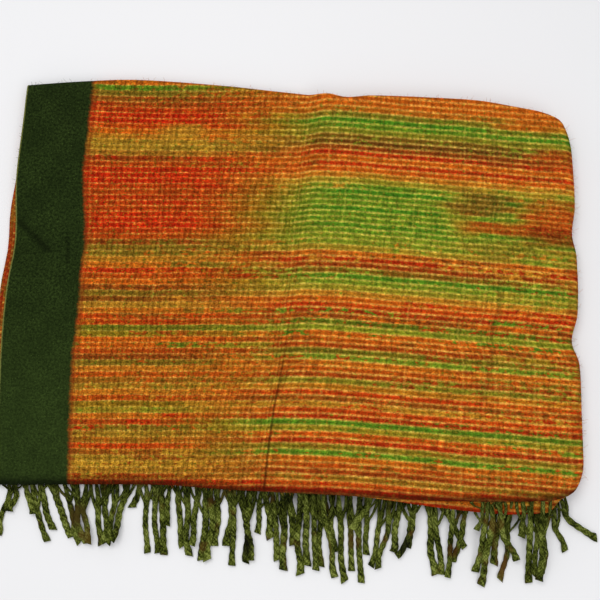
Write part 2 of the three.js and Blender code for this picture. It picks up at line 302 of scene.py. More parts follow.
def end_of(p, first):
    """Where the cloth's ends lie, up the pack from its near fold."""
    spread = ease((BEND_X - p["x"]) / 120) if p["under"] == 1 else 0
    inner = mix(2, 4, spread) if first else mix(0, 6, spread)
    return along(CLOTH_ENDS, min(p["x"], BEND_X) / WIDTH) + inner


def folded(p, y, o, out):
    """A point of the folded pack: y up the pack, o from the middle of the layers, out past the edge."""
    x = p["x"] + o * p["nx"]
    z = p["z"] + o * p["nz"]
    px, py = outline(x - out, y)
    ripple = sum(noise.noise(Vector((px / wide, py / deep, at))) * share for wide, deep, at, share in RIPPLES)
    press = swell(x, y) * (1 + ripple) * (1 - crease(px, py))
    return px, py, CLOTH / 2 + (z - CLOTH / 2) * press


SLOPE = 0.085
SLOPE_FROM = -40
SLOPE_OVER = 120.0


def pick_line(px, py):
    """Which weft row passes a point of the face: rows run level on the left and slope down on the right."""
    ramp = min(max(px - SLOPE_FROM, 0.0), SLOPE_OVER)
    slope = SLOPE * (ramp * ramp / (2 * SLOPE_OVER) + max(px - SLOPE_FROM - SLOPE_OVER, 0.0))
    edge = 0.05 * (max(-px - 150, 0.0) ** 2) / 200
    return -py - slope + edge * ease((py - 100) / 120)


def lay(p, t):
    """Where row t of the cloth lies at a station, and how far along the cloth that is."""
    far = outline(p["x"], FAR_Y)
    near = outline(p["x"], NEAR_Y)
    v_far = pick_line(*far)
    v_near = pick_line(*near)
    part, s = t
    wide = EDGE_REACH * max(0.0, 1 - p["x"] / 40) if p["under"] == 0 else 0.0

    def layer(y, o):
        return folded(p, y, o * LAYER, wide * EDGE_SHARES[part] * ease((390 - y) / 90))

    if part == "first":
        end = end_of(p, True) - PARTING - STRIP
        y = mix(end, FAR_Y, s)
        return layer(y, -1.5), v_far - math.pi * 1.5 * LAYER - (FAR_Y - y)
    if part == "outer":
        angle = math.pi * (s - 0.5)
        radius = 1.5 * LAYER
        place = folded(p, FAR_Y + radius * math.cos(angle), radius * math.sin(angle), 0)
        return place, v_far - math.pi * radius * (1 - s)
    if part == "top":
        y = mix(FAR_Y, NEAR_Y, s)
        place = folded(p, y, 1.5 * LAYER, 0)
        return place, pick_line(*outline(p["x"], y))
    if part == "near":
        angle = math.pi * (0.5 + s)
        radius = 0.5 * LAYER
        place = folded(p, NEAR_Y + radius * math.cos(angle), LAYER + radius * math.sin(angle), 0)
        return place, v_near + math.pi * radius * s
    if part == "third":
        y = mix(NEAR_Y, FAR_Y, s)
        return layer(y, 0.5), v_near + math.pi * 0.5 * LAYER + y - NEAR_Y
    if part == "inner":
        angle = math.pi * (0.5 - s)
        radius = 0.5 * LAYER
        place = folded(p, FAR_Y + radius * math.cos(angle), radius * math.sin(angle), 0)
        return place, v_near + math.pi * radius * (1 + s) + FAR_Y - NEAR_Y
    end = end_of(p, False) - PARTING - STRIP
    y = mix(FAR_Y, end, s)
    return layer(y, -0.5), v_near + math.pi * LAYER + 2 * FAR_Y - NEAR_Y - y


stations = make_stations()
PARTS = [("first", 26), ("outer", 10), ("top", 106), ("near", 8), ("third", 16), ("inner", 6), ("fourth", 22)]
rows = [(part, i / steps) for part, steps in PARTS for i in range(steps)]
rows.append(("fourth", 1.0))


def part_point(point):
    """From the measured millimetres to the part's own frame in metres."""
    return Vector(((point[0] - MIDDLE[0]) / 1000, (point[1] - MIDDLE[1]) / 1000, point[2] / 1000))


def put(tree, kind, settings=None, **inputs):
    """Adds a node. Settings are its own properties, inputs its sockets, each a value or another socket."""
    node = tree.nodes.new("ShaderNode" + kind)
    for key, value in (settings or {}).items():
        setattr(node, key, value)
    for key, value in inputs.items():
        socket = node.inputs[int(key[1:])] if key[0] == "_" else node.inputs[key.replace("_", " ")]
        if isinstance(value, bpy.types.NodeSocket):
            tree.links.new(value, socket)
        else:
            socket.default_value = value
    return node


def calc(tree, operation, a, b=0.0):
    """Arithmetic on one or two numbers, each a value or a socket."""
    return put(tree, "Math", {"operation": operation}, _0=a, _1=b).outputs[0]


def plus(tree, a, b):
    return calc(tree, "ADD", a, b)


def minus(tree, a, b):
    return calc(tree, "SUBTRACT", a, b)


def times(tree, a, b):
    return calc(tree, "MULTIPLY", a, b)


def scaled(tree, value, factor, shift):
    """A value times a factor, moved by a shift."""
    return put(tree, "Math", {"operation": "MULTIPLY_ADD"}, _0=value, _1=factor, _2=shift).outputs[0]


def around(tree, value):
    """A noise of 0 to 1 moved to lie on both sides of zero."""
    return minus(tree, value, 0.5)


def vector_calc(tree, operation, a, b, output=0):
    """The same on two vectors."""
    return put(tree, "VectorMath", {"operation": operation}, _0=a, _1=b).outputs[output]


def span(tree, value, low, high, to_low=0.0, to_high=1.0):
    """A value eased from one range to another."""
    node = put(
        tree, "MapRange", {"interpolation_type": "SMOOTHSTEP"}, Value=value, From_Min=low, From_Max=high,
        To_Min=to_low, To_Max=to_high,
    )
    return node.outputs[0]


def blend_colour(tree, factor, a, b, way="MIX"):
    """Colour b laid over colour a by a factor."""
    node = put(tree, "Mix", {"data_type": "RGBA", "blend_type": way})
    for socket, value in ((node.inputs[0], factor), (node.inputs[6], a), (node.inputs[7], b)):
        if isinstance(value, bpy.types.NodeSocket):
            tree.links.new(value, socket)
        else:
            socket.default_value = value
    return node.outputs[2]


def specks(tree, vector, scale, detail=2.0, roughness=0.5, stretch=None):
    """Noise from 0 to 1, stretched where the nap lies along one direction."""
    if stretch:
        vector = put(tree, "Mapping", Vector=vector, Scale=stretch).outputs[0]
    node = put(tree, "TexNoise", Vector=vector, Scale=scale, Detail=detail, Roughness=roughness)
    return node.outputs[0]


def new_group(name, inputs, outputs):
    """A node group with these sockets, and its input and output nodes."""
    tree = bpy.data.node_groups.new(name, "ShaderNodeTree")
    for label, kind in inputs:
        tree.interface.new_socket(label, in_out="INPUT", socket_type="NodeSocket" + kind)
    for label, kind in outputs:
        tree.interface.new_socket(label, in_out="OUTPUT", socket_type="NodeSocket" + kind)
    start = tree.nodes.new("NodeGroupInput")
    end = tree.nodes.new("NodeGroupOutput")
    return tree, start, end


def close_group(tree, end, **results):
    """Feeds the outputs of a group, with an underscore for a space in their names."""
    for label, value in results.items():
        tree.links.new(value, end.inputs[label.replace("_", " ")])
    return tree


WOOL_ROUGHNESS = 1.0
WOOL_SHINE = 0.05


def new_wool(name):
    """A material that is rough and nearly without shine, as wool is, with its tree and its shader."""
    material = bpy.data.materials.new(name)
    material.use_nodes = True
    tree = material.node_tree
    shader = tree.nodes["Principled BSDF"]
    shader.inputs["Roughness"].default_value = WOOL_ROUGHNESS
    shader.inputs["Specular IOR Level"].default_value = WOOL_SHINE
    return material, tree, shader


def dye(red, green, blue):
    """A yarn colour, given as it looks on a screen, in the linear light that materials use."""
    light = []
    for value in (red, green, blue):
        s = value / 255
        light.append(s / 12.92 if s <= 0.04045 else ((s + 0.055) / 1.055) ** 2.4)
    return (*light, 1)


YARN = {
    "red": dye(192, 38, 10),
    "rust": dye(176, 64, 14),
    "orange": dye(198, 90, 18),
    "mustard": dye(180, 130, 34),
    "olive": dye(128, 100, 24),
    "lime": dye(122, 136, 30),
    "green": dye(66, 126, 24),
    "brown": dye(140, 62, 16),
    "dark": dye(104, 52, 16),
    "maroon": dye(118, 36, 10),
}
THIN_WEFT = dye(244, 202, 90)
ROW = 0.0069
COLUMN = 0.0064
LINE_AT = 0.35
CHART_FROM = -0.280
CHART_TO = 0.240
RAMP_BANDS = 30
# The weft's dyed bands down the cloth, in its left and its right part: the places, in millimetres, where each
# yarn colour is at its strongest.
LEFT_BANDS = {
    "orange": (-269, -210, -202, -41, -20, 16, 48, 55, 87, 114, 139, 171),
    "green": (-263, 42, 127),
    "olive": (-255, -188, -60, -54, -5, 34, 75, 100, 152, 164, 184),
    "brown": (-246, -174, -67, -12, 2, 69, 205),
    "rust": (-238, -165, -131, -108, -80, -73, -27, 30, 62, 94, 121, 212),
    "red": (-229, -219, -155, -143, -120, -98, -88, -34, 24, 145, 177, 218),
    "mustard": (-196, -182, -48, 10, 81, 106, 134, 157, 191, 198),
}
RIGHT_BANDS = {
    "orange": (-247, -236, -170, -154, -53, -2, 4, 42, 48, 76, 82, 106, 128, 157, 189, 212),
    "olive": (-228, -202, 208),
    "green": (-220, -130, -110, -86, -27, 30, 65, 146, 183),
    "lime": (-209, -140, -121, -98, -74, -64, -20, -14, 36, 70, 100, 151, 178),
    "dark": (-193,),
    "brown": (-184, -41, -34, 18, 24, 61, 94, 119, 141, 171, 203),
    "red": (-178, -163, -47, 11, 113, 135, 164, 217, 225),
    "mustard": (-148, -58, -8, 123),
    "rust": (55, 88, 197),
}
LINE_SHARE = 0.35
# Longer dyed lengths that spread over several rows: centre across and down the cloth and half size, metres,
# how much of the colour there they take over, and which part of that the thin lines take.
DYED_LENGTHS = [
    {"at": (0.190, -0.207), "half": (0.030, 0.010), "yarn": "mustard", "share": 0.8},
    {"at": (0.150, -0.094), "half": (0.075, 0.014), "yarn": "red", "share": 0.6},
    {"at": (0.420, -0.124), "half": (0.060, 0.030), "yarn": "green", "share": 0.35},
    {"at": (0.545, -0.112), "half": (0.032, 0.036), "yarn": "mustard", "share": 0.40},
    {"at": (0.572, -0.124), "half": (0.046, 0.020), "yarn": "dark", "share": 0.75, "lines": 0.6},
    {"at": (0.600, -0.100), "half": (0.070, 0.013), "yarn": "rust", "share": 0.85, "lines": 0.6},
    {"at": (0.665, -0.112), "half": (0.058, 0.030), "yarn": "rust", "share": 0.95, "lines": 0.6},
    {"at": (0.660, -0.092), "half": (0.060, 0.013), "yarn": "maroon", "share": 0.75, "lines": 0.7},
    {"at": (0.590, -0.075), "half": (0.060, 0.014), "yarn": "olive", "share": 0.60},
    {"at": (0.640, -0.238), "half": (0.080, 0.020), "yarn": "orange", "share": 0.85},
    {"at": (0.670, -0.186), "half": (0.045, 0.018), "yarn": "rust", "share": 0.80, "lines": 0.7},
    {"at": (0.692, 0.020), "half": (0.022, 0.200), "yarn": "rust", "share": 0.60, "lines": 0.6},
    {"at": (0.310, -0.170), "half": (0.040, 0.020), "yarn": "orange", "share": 0.45},
    {"at": (0.285, 0.085), "half": (0.030, 0.018), "yarn": "orange", "share": 0.35},
    {"at": (0.285, 0.175), "half": (0.040, 0.010), "yarn": "olive", "share": 0.45},
]


def chart_place(row):
    """Where a row in millimetres lies in the chart, from 0 to 1."""
    return (row / 1000 - CHART_FROM) / (CHART_TO - CHART_FROM)


def band_chart(tree, at, table):
    """The dye down the cloth from a table of bands, in colour ramps of up to thirty bands each."""
    bands = sorted((row, yarn) for yarn, places in table.items() for row in places)
    colour = None
    for first in range(0, len(bands) - 1, RAMP_BANDS):
        part = bands[first:first + RAMP_BANDS + 1]
        node = put(tree, "ValToRGB", Fac=at)
        stops = node.color_ramp.elements
        for i, (row, yarn) in enumerate(part):
            stop = stops[i] if i < 2 else stops.new(chart_place(row))
            stop.position = chart_place(row)
            stop.color = YARN[yarn]
        if colour is None:
            colour = node.outputs[0]
        else:
            past = calc(tree, "GREATER_THAN", at, chart_place(part[0][0]))
            colour = blend_colour(tree, past, colour, node.outputs[0])
    return colour


def make_dyed_length():
    """One longer dyed length: a soft-edged patch of one yarn colour over what is there."""
    inputs = [
        ("Vector", "Vector"), ("Color", "Color"), ("Yarn", "Color"), ("Centre", "Vector"), ("Half", "Vector"),
        ("Share", "Float"), ("Ragged", "Float"),
    ]
    tree, start, end = new_group("dyed_length", inputs, [("Color", "Color")])
    off = vector_calc(tree, "SUBTRACT", start.outputs["Vector"], start.outputs["Centre"])
    off = vector_calc(tree, "DIVIDE", off, start.outputs["Half"])
    far = put(tree, "VectorMath", {"operation": "LENGTH"}, _0=off).outputs["Value"]
    far = plus(tree, far, start.outputs["Ragged"])
    mask = times(tree, span(tree, far, 1.3, 0.35), start.outputs["Share"])
    colour = blend_colour(tree, mask, start.outputs["Color"], start.outputs["Yarn"])
    return close_group(tree, end, Color=colour)


dyed_length = make_dyed_length()


def lay_dye(tree, vector, colour, length, yarn, share, ragged=0.0):
    """Takes one longer dyed length over into a colour."""
    patch = put(
        tree, "Group", {"node_tree": dyed_length}, Vector=vector, Color=colour, Yarn=yarn,
        Centre=(*length["at"], 0), Half=(*length["half"], 1), Share=share, Ragged=ragged,
    )
    return patch.outputs["Color"]


OWN_REACH = 0.004
OTHER_REACH = 0.038
ROW_NOISE_STEP = 7.77


def make_weft_dye():
    """Colour of the space-dyed weft: bands of one to four rows that come and go along the row."""
    inputs = [("Vector", "Vector"), ("Row", "Float"), ("Line Row", "Float")]
    tree, start, end = new_group("weft_dye", inputs, [("Color", "Color"), ("Thin", "Color")])
    vector = start.outputs["Vector"]
    across = put(tree, "SeparateXYZ", Vector=vector).outputs[0]

    def row_noise(row, scale, seed):
        at = put(tree, "CombineXYZ", X=times(tree, across, scale), Y=times(tree, row, ROW_NOISE_STEP), Z=seed)
        return put(tree, "TexNoise", Vector=at.outputs[0], Scale=1.0, Detail=2.0).outputs[0]

    def chart_at(row, seed, reach):
        jump_at = put(tree, "CombineXYZ", X=row, Y=seed).outputs[0]
        jump = put(tree, "TexWhiteNoise", {"noise_dimensions": "2D"}, Vector=jump_at).outputs[0]
        at = scaled(tree, around(tree, jump), reach, times(tree, row, ROW))
        at = plus(tree, at, ROW * (0.5 - LINE_AT) - CHART_FROM)
        return calc(tree, "PINGPONG", calc(tree, "DIVIDE", at, CHART_TO - CHART_FROM), 1.0)

    body_row = start.outputs["Row"]
    turn = row_noise(times(tree, body_row, 0.1), 0.01, 3.7)
    edge = scaled(tree, around(tree, turn), 0.16, across)
    side = span(tree, edge, 0.19, 0.37)
    muted = times(tree, span(tree, edge, 0.14, 0.24), span(tree, edge, 0.38, 0.28))
    muted = calc(tree, "MAXIMUM", muted, span(tree, edge, 0.52, 0.62))

    def sides(at):
        return blend_colour(tree, side, band_chart(tree, at, LEFT_BANDS), band_chart(tree, at, RIGHT_BANDS))

    grain = specks(tree, vector, 1.0, 2.0, 0.6, (110, 230, 1))

    def woven(row, seed):
        own = row_noise(row, 17.0, seed)
        share = scaled(tree, muted, 0.30, span(tree, own, 0.48, 0.70, 0.02, 0.60))
        limit = scaled(tree, share, -0.36, 0.68)
        pick = span(tree, minus(tree, grain, limit), -0.08, 0.09)
        own_dye = sides(chart_at(row, seed, OWN_REACH))
        other_dye = sides(chart_at(row, seed + 3, OTHER_REACH))
        return blend_colour(tree, pick, own_dye, other_dye), own

    colour, own = woven(body_row, 1.5)
    ragged = times(tree, around(tree, own), 2.2)
    thin, thin_own = woven(start.outputs["Line Row"], 6.2)
    bright = span(tree, thin_own, 0.30, 0.62, 0.52, 0.84)
    thin = blend_colour(tree, bright, thin, THIN_WEFT)
    for length in DYED_LENGTHS:
        yarn = YARN[length["yarn"]]
        on_line = length["share"] * length.get("lines", LINE_SHARE)
        colour = lay_dye(tree, vector, colour, length, yarn, length["share"], ragged)
        thin = lay_dye(tree, vector, thin, length, yarn, on_line, ragged)
    return close_group(tree, end, Color=colour, Thin=thin)


def make_check_weave():
    """The small check: thin light weft lines between broader rows, beaded where the warp crosses them."""
    outputs = [(label, "Float") for label in ("Row", "Line Row", "Light", "Tone", "Height")]
    tree, start, end = new_group("check_weave", [("Vector", "Vector"), ("Soft", "Float")], outputs)
    vector = start.outputs["Vector"]
    soft = start.outputs["Soft"]
    place = put(tree, "SeparateXYZ", Vector=vector)
    wave = around(tree, specks(tree, vector, 14.0, 2.0))
    fine = around(tree, specks(tree, vector, 170.0, 2.0))
    broken = specks(tree, vector, 1.0, 2.0, 0.5, (45, 150, 1))
    v = scaled(tree, wave, 0.0035, place.outputs[1])
    v = scaled(tree, fine, scaled(tree, soft, -0.0012, 0.0022), v)
    v = scaled(tree, v, 1 / ROW, LINE_AT)
    u = scaled(tree, wave, 0.008, place.outputs[0])
    u = calc(tree, "DIVIDE", scaled(tree, fine, 0.0045, u), COLUMN)
    line_row = calc(tree, "FLOOR", plus(tree, v, 0.5))
    column = calc(tree, "FLOOR", plus(tree, u, 0.5))
    in_row = calc(tree, "PINGPONG", v, 0.5)
    in_column = calc(tree, "PINGPONG", u, 0.5)

    def dice(x, y):
        at = put(tree, "CombineXYZ", X=x, Y=y).outputs[0]
        return put(tree, "TexWhiteNoise", {"noise_dimensions": "2D"}, Vector=at).outputs[0]

    whole = calc(tree, "MAXIMUM", span(tree, broken, 0.28, 0.56, 0.30, 1.0), times(tree, soft, 0.75))
    far = scaled(tree, soft, 0.07, 0.20)
    near = scaled(tree, soft, 0.04, 0.05)
    line = times(tree, span(tree, in_row, far, near), whole)
    cross = span(tree, in_column, 0.44, 0.06, scaled(tree, soft, 0.22, 0.48), 1.0)
    cross = times(tree, cross, scaled(tree, dice(line_row, column), 0.6, 0.66))
    rare = span(tree, dice(column, 4.4), 0.80, 0.92, 0.0, 0.42)
    upright = span(tree, in_column, 0.28, 0.06)
    upright = times(tree, upright, times(tree, rare, span(tree, broken, 0.62, 0.40)))
    light = calc(tree, "MAXIMUM", times(tree, line, cross), upright)
    body_row = calc(tree, "FLOOR", v)
    gap = span(tree, in_column, 0.10, 0.44, 0.0, scaled(tree, soft, -0.12, 0.25))
    tone = minus(tree, scaled(tree, dice(body_row, column), 0.34, 0.73), gap)
    tone = times(tree, tone, span(tree, in_row, 0.20, 0.48, 1.08, 0.80))
    height = minus(tree, times(tree, light, 0.7), times(tree, gap, 1.5))
    return close_group(tree, end, Row=body_row, Line_Row=line_row, Light=light, Tone=tone, Height=height)


# Painted shade along lines where the cloth was creased or folded sharply, on the cloth itself: from, to, half
# width, in metres, and how dark the shade is.
CREASE_SHADE_LINES = [
    {"from": (0.3416, -0.020), "to": (0.3416, 0.0757), "wide": 0.0022, "share": 0.35},
    {"from": (0.3416, 0.0757), "to": (0.3416, 0.1462), "wide": 0.0026, "share": 0.75},
    {"from": (0.3416, 0.1462), "to": (0.3416, 0.2206), "wide": 0.0030, "share": 0.85},
    {"from": (0.5888, -0.0372), "to": (0.5843, 0.0336), "wide": 0.0060, "share": 0.42},
    {"from": (0.5843, 0.0336), "to": (0.5664, 0.106), "wide": 0.0070, "share": 0.36},
    {"from": (0.0045, -0.0928), "to": (0.0404, -0.0588), "wide": 0.0066, "share": 0.75},
    {"from": (0.0628, -0.0717), "to": (0.0673, -0.0438), "wide": 0.0046, "share": 0.6},
]


def make_crease_shade():
    """Painted shade along one crease: a soft dark line on the cloth between two points."""
    inputs = [
        ("Vector", "Vector"), ("From", "Vector"), ("Way", "Vector"), ("Wide", "Float"), ("Share", "Float"),
    ]
    tree, start, end = new_group("crease_shade_line", inputs, [("Mask", "Float")])
    way = start.outputs["Way"]
    off = vector_calc(tree, "SUBTRACT", start.outputs["Vector"], start.outputs["From"])
    reach = vector_calc(tree, "DOT_PRODUCT", off, way, "Value")
    whole = vector_calc(tree, "DOT_PRODUCT", way, way, "Value")
    share = put(tree, "Clamp", Value=calc(tree, "DIVIDE", reach, whole)).outputs[0]
    nearest = put(tree, "VectorMath", {"operation": "SCALE"}, _0=way, Scale=share).outputs[0]
    gap = vector_calc(tree, "SUBTRACT", off, nearest)
    far = put(tree, "VectorMath", {"operation": "LENGTH"}, _0=gap).outputs["Value"]
    mask = span(tree, calc(tree, "DIVIDE", far, start.outputs["Wide"]), 1.0, 0.1)
    return close_group(tree, end, Mask=times(tree, mask, start.outputs["Share"]))


crease_shade_line = make_crease_shade()


BORDER = 0.0808
BORDER_GROWS = 0.0040
FELT_DARK = dye(16, 25, 6)
FELT_LIGHT = dye(60, 78, 32)
SELVEDGE = dye(118, 120, 60)
THREAD = dye(156, 126, 62)
# The face lies between these places down the cloth. Past them the hidden layers show weave along their edge.
TOP_FROM = -0.296
TOP_TO = 0.250
BARE_EDGE = 0.026
BARE_SOFT = 0.006


def make_felt_border():
    """The plain border: dark green felted wool with a lighter bloom of fibres, and its fuzzy inner edge."""
    outputs = [("Color", "Color"), ("Mask", "Float"), ("Haze", "Float"), ("Height", "Float")]
    tree, start, end = new_group("felt_border", [("Vector", "Vector")], outputs)
    vector = start.outputs["Vector"]
    across, down, _ = put(tree, "SeparateXYZ", Vector=vector).outputs
    fuzz = specks(tree, vector, 330.0, 3.0, 0.6)
    lint = specks(tree, vector, 80.0, 3.0, 0.6)
    bloom = specks(tree, vector, 26.0, 3.0, 0.55)
    fibre = specks(tree, vector, 360.0, 3.0, 0.75)
    speck = specks(tree, vector, 560.0, 1.0, 0.5)
    worn = span(tree, down, -0.05, 0.16, 0.0, 0.16)
    light = times(tree, span(tree, fibre, 0.32, 0.74), span(tree, bloom, 0.25, 0.75, 0.28, 0.62))
    light = plus(tree, light, times(tree, worn, span(tree, lint, 0.2, 0.7, 0.5, 1.2)))
    light = plus(tree, light, span(tree, speck, 0.66, 0.76, 0.0, 0.7))
    colour = blend_colour(tree, light, FELT_DARK, FELT_LIGHT)
    thread = times(tree, span(tree, down, -0.264, -0.274), span(tree, across, 0.050, 0.024))
    thread = times(tree, thread, span(tree, specks(tree, vector, 1.0, 2.0, 0.5, (90, 620, 1)), 0.50, 0.62))
    colour = blend_colour(tree, times(tree, thread, 0.7), colour, THREAD)
    lip = scaled(tree, around(tree, fuzz), 0.0024, across)
    colour = blend_colour(tree, span(tree, lip, 0.0022, 0.0004), colour, SELVEDGE)
    edge = scaled(tree, around(tree, fuzz), 0.0060, across)
    edge = scaled(tree, around(tree, lint), 0.0060, edge)
    edge = minus(tree, edge, span(tree, down, -0.17, -0.04, 0.0, BORDER_GROWS))
    wide = times(tree, span(tree, down, -0.04, 0.0), span(tree, down, 0.07, 0.02))
    edge = scaled(tree, wide, -0.0036, edge)
    mask = span(tree, edge, BORDER + 0.0030, BORDER - 0.0026)
    before = span(tree, down, TOP_FROM + BARE_SOFT, TOP_FROM)
    hidden = calc(tree, "MAXIMUM", before, span(tree, down, TOP_TO, TOP_TO + BARE_SOFT))
    bare = times(tree, hidden, span(tree, across, BARE_EDGE + BARE_SOFT, BARE_EDGE))
    mask = times(tree, mask, minus(tree, 1.0, bare))
    haze = span(tree, edge, BORDER + 0.0100, BORDER, 0.0, 0.55)
    height = scaled(tree, lint, 0.5, fibre)
    return close_group(tree, end, Color=colour, Mask=mask, Haze=haze, Height=height)


weft_dye = make_weft_dye()
check_weave = make_check_weave()
felt_border = make_felt_border()

HAZE_COLOUR = dye(120, 40, 12)
# Colours of the painted shade at the near fold and along the creases: on the body and on the felt border.
BODY_SHADE = dye(36, 14, 3)
FELT_SHADE = dye(8, 12, 3)


def make_cloth(name, line_strength):
    """Brushed wool cloth: dyed weft, check weave and border, with a soft nap, and painted shade at the near
    fold and along the creases.
    """
    material, tree, shader = new_wool(name)
    vector = put(tree, "UVMap", {"uv_map": "cloth"}).outputs[0]
    across = put(tree, "SeparateXYZ", Vector=vector).outputs[0]
    soft = span(tree, across, 0.24, 0.36)
    weave = put(tree, "Group", {"node_tree": check_weave}, Vector=vector, Soft=soft)
    weft = put(
        tree, "Group", {"node_tree": weft_dye}, Vector=vector, Row=weave.outputs["Row"],
        Line_Row=weave.outputs["Line Row"],
    )
    felt = put(tree, "Group", {"node_tree": felt_border}, Vector=vector)
    nap = specks(tree, vector, 1.0, 3.0, 0.65, (150, 260, 1))
    grit = specks(tree, vector, 560.0, 2.0, 0.6)
    spots = specks(tree, vector, 250.0, 2.0, 0.6)
    body = weft.outputs["Color"]
    body = blend_colour(tree, span(tree, spots, 0.56, 0.72, 0.0, 0.6), body, YARN["green"])
    body = blend_colour(tree, span(tree, spots, 0.44, 0.30, 0.0, 0.5), body, YARN["mustard"])
    lines = times(tree, weave.outputs["Light"], scaled(tree, soft, 0.13, line_strength - 0.17))
    body = blend_colour(tree, lines, body, weft.outputs["Thin"])
    coarse = scaled(tree, soft, -0.34, 1.16)
    rough = scaled(tree, around(tree, span(tree, grit, 0.22, 0.78)), coarse, 1.0)
    tone = times(tree, span(tree, nap, 0.25, 0.75, 0.56, 1.34), rough)
    tone = times(tree, tone, weave.outputs["Tone"])
    painted_fold_shade = put(tree, "Attribute", {"attribute_name": "painted_fold_shade"}).outputs["Fac"]
    tone = put(tree, "CombineColor", Red=tone, Green=tone, Blue=tone).outputs[0]
    body = blend_colour(tree, 1.0, body, tone, "MULTIPLY")
    body = blend_colour(tree, felt.outputs["Haze"], body, HAZE_COLOUR)
    colour = blend_colour(tree, felt.outputs["Mask"], body, felt.outputs["Color"])
    # Painted shade: the colour darkens where the cloth turns under at the near fold and on its ends under it.
    shade = blend_colour(tree, felt.outputs["Mask"], BODY_SHADE, FELT_SHADE)
    colour = blend_colour(tree, times(tree, painted_fold_shade, 0.8), colour, shade)
    # Painted shade: dark lines along the creases; the same mask also presses the bump down there.
    crease_shade_and_dip = 0.0
    for line in CREASE_SHADE_LINES:
        way = (line["to"][0] - line["from"][0], line["to"][1] - line["from"][1], 0)
        mark = put(
            tree, "Group", {"node_tree": crease_shade_line}, Vector=vector, From=(*line["from"], 0), Way=way,
            Wide=line["wide"], Share=line["share"],
        )
        crease_shade_and_dip = calc(tree, "MAXIMUM", mark.outputs["Mask"], crease_shade_and_dip)
    colour = blend_colour(tree, times(tree, crease_shade_and_dip, 0.75), colour, shade)
    tree.links.new(colour, shader.inputs["Base Color"])
    weave_height = scaled(tree, nap, 0.8, weave.outputs["Height"])
    keep = minus(tree, 1.0, felt.outputs["Mask"])
    felt_height = times(tree, felt.outputs["Height"], felt.outputs["Mask"])
    height = minus(tree, scaled(tree, weave_height, keep, felt_height), crease_shade_and_dip)
    bump = put(tree, "Bump", Strength=0.6, Distance=0.0009, Height=height)
    tree.links.new(bump.outputs[0], shader.inputs["Normal"])
    return material


cloth_face = make_cloth("cloth_face", 0.95)
cloth_back = make_cloth("cloth_back", 0.5)

# Painted shade at the near fold: how far from it the colour darkens, how it fades, and how dark the cloth's
# ends under it are.
FOLD_SHADE_WITHIN = 10.0
FOLD_SHADE_FADE = 1.4
END_SHADE = 0.45


def near_shade(part, s):
    """How dark the painted shade on the nap is where the cloth turns under at the near fold, and on its two
    ends under it.
    """
    run = FAR_Y - NEAR_Y
    far = {"top": (1 - s) * run, "near": 0.0, "third": s * run}.get(part, FOLD_SHADE_WITHIN)
    ends = {"first": s * run, "fourth": (1 - s) * run}.get(part, 2 * FOLD_SHADE_WITHIN)
    fold_shade = max(0.0, 1 - far / FOLD_SHADE_WITHIN) ** FOLD_SHADE_FADE
    return max(fold_shade, END_SHADE if ends < 2 * FOLD_SHADE_WITHIN else 0.0)


bm = bmesh.new()
columns = len(stations)
bmesh.ops.create_grid(bm, x_segments=columns - 1, y_segments=len(rows) - 1, size=1.0)
flat_place = {}
# Each point's share of painted shade at the near fold, which the cloth's materials read.
painted_fold_shade = bm.verts.layers.float.new("painted_fold_shade")
for vert in bm.verts:
    i = round((vert.co.x + 1) / 2 * (columns - 1))
    j = round((vert.co.y + 1) / 2 * (len(rows) - 1))
    place, pick = lay(stations[i], rows[j])
    flat_place[vert.index] = (stations[i]["run"] / 1000, pick / 1000)
    vert[painted_fold_shade] = near_shade(*rows[j])
    vert.co = part_point(place)
cloth_uv = bm.loops.layers.uv.new("cloth")
for face in bm.faces:
    face.smooth = True
    for loop in face.loops:
        loop[cloth_uv].uv = flat_place[loop.vert.index]
blanket = finish_mesh("blanket_cloth", bm, [cloth_face, cloth_back])
thick = blanket.modifiers.new("cloth_thickness", "SOLIDIFY")
thick.thickness = CLOTH / 1000
thick.offset = 0
thick.material_offset = 1
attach(blanket, "root")
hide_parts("blanket")


# Twisted fringes: the warp ends left past the cloth's two ends, twisted in pairs into two-ply olive wool
# strands and cut. Both fringes come out together from under the near fold and lie splayed on the floor,
# some of them across others.
HALF_WIDTH = 3.45
HALF_HEIGHT = 2.15
LOBE = 0.10
TWIST = 21.0
STRAND_SIDES = 12
STRAND_STEPS = 40
LIE = HALF_HEIGHT * (1 + LOBE)
YARN_SIDES = 6
YARN_STEPS = 7
YARN_RADIUS = 2.1
